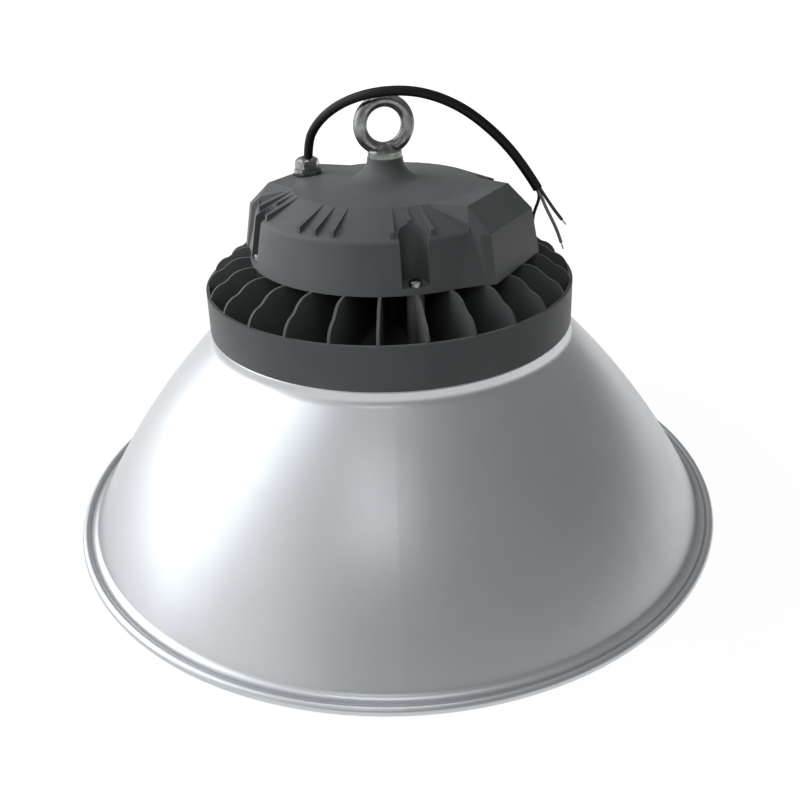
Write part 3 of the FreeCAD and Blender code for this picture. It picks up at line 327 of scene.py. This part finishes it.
def strand_copper(name):
    """Bare tinned copper wires, with patches where the tin is worn."""
    material, tree, principled = shader(name, Metallic=1.0)
    place = object_place(tree)
    worn = spread(tree, noise(tree, place, 900.0, 3.0), 0.35, 0.7)
    tint = blend_colour(tree, worn, rgb(206, 204, 198), rgb(176, 160, 146))
    gloss = spread(tree, worn, 0.0, 1.0, 0.25, 0.45)
    skin = bump(tree, worn, 0.00002, 0.4)
    connect(tree, principled, Base_Color=tint, Roughness=gloss, Normal=skin)
    return material


# each has a colour, a shade and a roughness; platings also have a scale, and mouldings more values
CAST_PAINTS = {
    "housing_paint": ((118, 120, 121), (106, 108, 109), 0.42),
    "sink_paint": ((114, 116, 117), (102, 104, 105), 0.44),
}
PLATINGS = {
    "plated_steel": ((146, 148, 145), (92, 94, 92), 0.27, 120.0),
    "nickel_brass": ((160, 161, 159), (104, 105, 104), 0.22, 200.0),
    "screw_steel": ((150, 151, 153), (96, 97, 99), 0.3, 300.0),
}
MOULDINGS = {
    "cable_jacket": ((12, 12, 12), (17, 17, 17), 0.45, {"Specular_IOR_Level": 0.2}),
    "black_rubber": ((24, 24, 25), (34, 34, 35), 0.6, {}),
    "silicone": ((196, 196, 192), (178, 178, 174), 0.5, {}),
    "core_black": ((34, 34, 34), (44, 44, 44), 0.4, {}),
    "core_dark": ((52, 51, 46), (42, 41, 37), 0.4, {}),
    "core_grey": ((142, 143, 137), (122, 123, 118), 0.4, {}),
    "terminal_plastic": ((224, 222, 212), (206, 203, 190), 0.45, {}),
    "board_white": ((238, 239, 238), (226, 228, 227), 0.3, {}),
}
SHEETS = {
    "plate_aluminium": ((196, 198, 201), (176, 178, 182), 0.34),
    "driver_case": ((170, 172, 175), (150, 152, 156), 0.4),
}


def make_materials():
    """One material for each slot of the record, by its name."""
    made = {
        "reflector_aluminium": spun_aluminium("reflector_aluminium"),
        "copper": strand_copper("copper"),
        "chip_phosphor": phosphor("chip_phosphor"),
        "clear_glass": cover_glass("clear_glass"),
    }
    for name, (colour, shade, roughness) in CAST_PAINTS.items():
        made[name] = cast_paint(name, rgb(*colour), rgb(*shade), roughness)
    for name, (colour, shade, roughness, scale) in PLATINGS.items():
        made[name] = plated_metal(name, rgb(*colour), rgb(*shade), roughness, scale)
    for name, (colour, shade, roughness, extra) in MOULDINGS.items():
        made[name] = moulded(name, rgb(*colour), rgb(*shade), roughness, **extra)
    for name, (colour, shade, roughness) in SHEETS.items():
        made[name] = sheet_metal(name, rgb(*colour), rgb(*shade), roughness)
    return made


def smooth_bends(mesh):
    """Shade the reflector's bends by their true arcs, which their long triangles miss."""
    normals = [corner.vector.copy() for corner in mesh.corner_normals]
    spots = [(math.hypot(vertex.co.x, vertex.co.y), vertex.co) for vertex in mesh.vertices]
    for middle, height, reach, facing in REFLECTOR_BENDS:
        on_arc = [abs(math.hypot(radius - middle, place.z - height) - reach) < BEND_SLACK
                  for radius, place in spots]
        for face in mesh.polygons:
            if not all(on_arc[vertex] for vertex in face.vertices):
                continue
            for corner in face.loop_indices:
                radius, place = spots[mesh.loops[corner].vertex_index]
                out = facing * (radius - middle) / radius
                normal = Vector((out * place.x, out * place.y, facing * (place.z - height)))
                normals[corner] = normal.normalized()
    mesh.normals_split_custom_set(normals)


def dress_cad_nodes(materials):
    """Give each CAD node the material that the record's slot names."""
    slots = {part["node"]: part["material_slot"] for part in frame["record"]["subparts"]}
    for name, item in frame["nodes"].items():
        item.data.materials.clear()
        item.data.materials.append(materials[slots[name]])
    smooth_bends(frame["nodes"]["reflector"].data)


# ---- cable and its cores --------------------------------------------------------------------

def round_curve(name, route, radius, material):
    """A round cord along a smooth spline whose control points are the route."""
    data = bpy.data.curves.new(name, "CURVE")
    data.dimensions = "3D"
    data.bevel_depth = radius
    data.bevel_resolution = 6
    data.resolution_u = 16
    data.use_fill_caps = True
    spline = data.splines.new("NURBS")
    spline.points.add(len(route) - 1)
    for point, place in zip(spline.points, route):
        point.co = (*place, 1.0)
    spline.order_u = 3
    spline.use_endpoint_u = True
    data.materials.append(material)
    cord = bpy.data.objects.new(name, data)
    bpy.context.scene.collection.objects.link(cord)
    return cord


def copper_strands(name, route, material):
    """The bare wires at a core's end: one in the middle and the rest twisted round it."""
    start = Vector(route[-1])
    ahead = (start - Vector(route[-2])).normalized()
    side = ahead.orthogonal().normalized()
    other = ahead.cross(side)
    data = bpy.data.curves.new(name, "CURVE")
    data.dimensions = "3D"
    data.bevel_depth = STRAND_RADIUS
    data.bevel_resolution = 3
    data.use_fill_caps = True
    for number in range(STRAND_COUNT):
        reach = 0.0 if number == 0 else COPPER_RADIUS - STRAND_RADIUS
        spline = data.splines.new("POLY")
        spline.points.add(STRAND_STEPS)
        length = COPPER_LENGTH * (1.0 - STRAND_SHORTER * (number % 3))
        for step, point in enumerate(spline.points):
            along = step / STRAND_STEPS
            turn = 2 * math.pi * number / (STRAND_COUNT - 1) + STRAND_TWIST * along
            off = (side * math.cos(turn) + other * math.sin(turn)) * reach
            point.co = (*(start + ahead * length * along + off), 1.0)
    data.materials.append(material)
    strands = bpy.data.objects.new(name, data)
    bpy.context.scene.collection.objects.link(strands)
    return strands


def add_cord(name, slot, route, radius, materials):
    """A cord in place of its solid; a core also gets the bare strands at its end."""
    cord = round_curve(name + "_cord", route, radius, materials[slot])
    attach(cord, "root")
    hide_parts(name)
    if radius == CORE_RADIUS:
        strands = copper_strands(name + "_strands", route, materials["copper"])
        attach(strands, "root")
        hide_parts("copper_tips")


def add_cords(materials):
    """The mains cable leaves the gland, and the three cores leave the cable's cut end."""
    add_cord("mains_cable", "cable_jacket", CABLE_ROUTE, CABLE_RADIUS,
             materials)
    cores = (
        ("core_line", "core_black", LINE_ROUTE, LINE_LENGTH),
        ("core_neutral", "core_dark", NEUTRAL_ROUTE, NEUTRAL_LENGTH),
        ("core_earth", "core_grey", EARTH_ROUTE, EARTH_LENGTH),
    )
    for name, slot, route, length in cores:
        add_cord(name, slot, route, CORE_RADIUS, materials)


# ---- floor, light and camera ----------------------------------------------------------------

def seen_or_mirrored(tree):
    """1 for rays from the camera, from a gloss and through glass, and 0 for all other light."""
    path = add(tree, "ShaderNodeLightPath").outputs
    seen = calc(tree, "MAXIMUM", path["Is Camera Ray"], path["Is Glossy Ray"])
    return calc(tree, "MAXIMUM", seen, path["Is Transmission Ray"])


def add_floor():
    """A pale floor that keeps a soft shadow near the lamp and turns white further out."""
    material, tree, principled = shader("floor_pale", Roughness=0.9, Specular_IOR_Level=0.1)
    place = object_place(tree)
    mottle = spread(tree, noise(tree, place, 3.0, 3.0), 0.3, 0.7)
    tint = blend_colour(tree, mottle, FLOOR_LIGHT, FLOOR_DARK)
    connect(tree, principled, Base_Color=tint)
    glow = add(tree, "ShaderNodeEmission", {"Color": WHITE, "Strength": FLOOR_GLOW}).outputs[0]
    away = add(tree, "ShaderNodeVectorMath", {0: place}, operation="LENGTH").outputs["Value"]
    fade = spread(tree, away, GLOW_NEAR, GLOW_FAR, GLOW_SHARE_NEAR, GLOW_SHARE_FAR)
    share = calc(tree, "MULTIPLY", seen_or_mirrored(tree), fade)
    parts = {0: share, 1: principled.outputs[0], 2: glow}
    mixed = add(tree, "ShaderNodeMixShader", parts).outputs[0]
    tree.links.new(mixed, tree.nodes["Material Output"].inputs["Surface"])
    data = bpy.data.meshes.new("floor")
    half = FLOOR_HALF
    corners = [(-half, -half, 0.0), (half, -half, 0.0), (half, half, 0.0), (-half, half, 0.0)]
    data.from_pydata(corners, [], [(0, 1, 2, 3)])
    data.materials.append(material)
    floor = bpy.data.objects.new("floor", data)
    bpy.context.scene.collection.objects.link(floor)


def add_world():
    """A dim studio with a wide window on the left; metal and glass show what the camera sees."""
    world = bpy.data.worlds.new("studio")
    world.use_nodes = True
    bpy.context.scene.world = world
    tree = world.node_tree
    direction = add(tree, "ShaderNodeTexCoord").outputs["Generated"]
    across = add(tree, "ShaderNodeSeparateXYZ", {0: direction}).outputs[0]
    fall = {
        "Value": across,
        "From Min": WINDOW_START,
        "From Max": WINDOW_END,
        "To Min": WINDOW_STRENGTH,
        "To Max": 0.0,
    }
    window = add(tree, "ShaderNodeMapRange", fall, interpolation_type="SMOOTHSTEP").outputs[0]
    shown = spread(tree, across, -1.0, 1.0, ROOM_LEFT, ROOM_RIGHT)
    room = add(tree, "ShaderNodeMix", {0: seen_or_mirrored(tree), 2: ROOM_LIGHT, 3: shown})
    strength = calc(tree, "ADD", window, room.outputs[0])
    background = tree.nodes["Background"]
    background.inputs["Color"].default_value = WHITE
    tree.links.new(strength, background.inputs["Strength"])


def add_lights():
    """Square soft boxes that all point at the lamp's middle."""
    for name, place, width, power in LAMPS:
        data = bpy.data.lights.new(name, "AREA")
        data.shape = "SQUARE"
        data.size = width
        data.energy = power
        data.color = LAMP_TINT
        lamp = bpy.data.objects.new(name, data)
        aim = Vector(LAMP_TARGET) - Vector(place)
        lamp.location = place
        lamp.rotation_euler = aim.to_track_quat("-Z", "Y").to_euler()
        bpy.context.scene.collection.objects.link(lamp)


def add_camera():
    """A camera that looks down on the lamp, with a slight roll."""
    data = bpy.data.cameras.new("camera")
    data.sensor_width = CAMERA_SENSOR
    data.lens = CAMERA_LENS
    data.shift_x, data.shift_y = CAMERA_SHIFT
    data.clip_start = CAMERA_NEAR
    camera = bpy.data.objects.new("camera", data)
    tilt = Matrix.Rotation(math.radians(90.0 - CAMERA_ELEVATION), 4, "X")
    roll = Matrix.Rotation(math.radians(CAMERA_ROLL), 4, "Z")
    camera.matrix_world = Matrix.Translation(CAMERA_PLACE) @ tilt @ roll
    bpy.context.scene.collection.objects.link(camera)
    bpy.context.scene.camera = camera


bpy.context.scene.view_settings.view_transform = "Standard"
materials = make_materials()
dress_cad_nodes(materials)
add_cords(materials)
add_floor()
add_world()
add_lights()
add_camera()
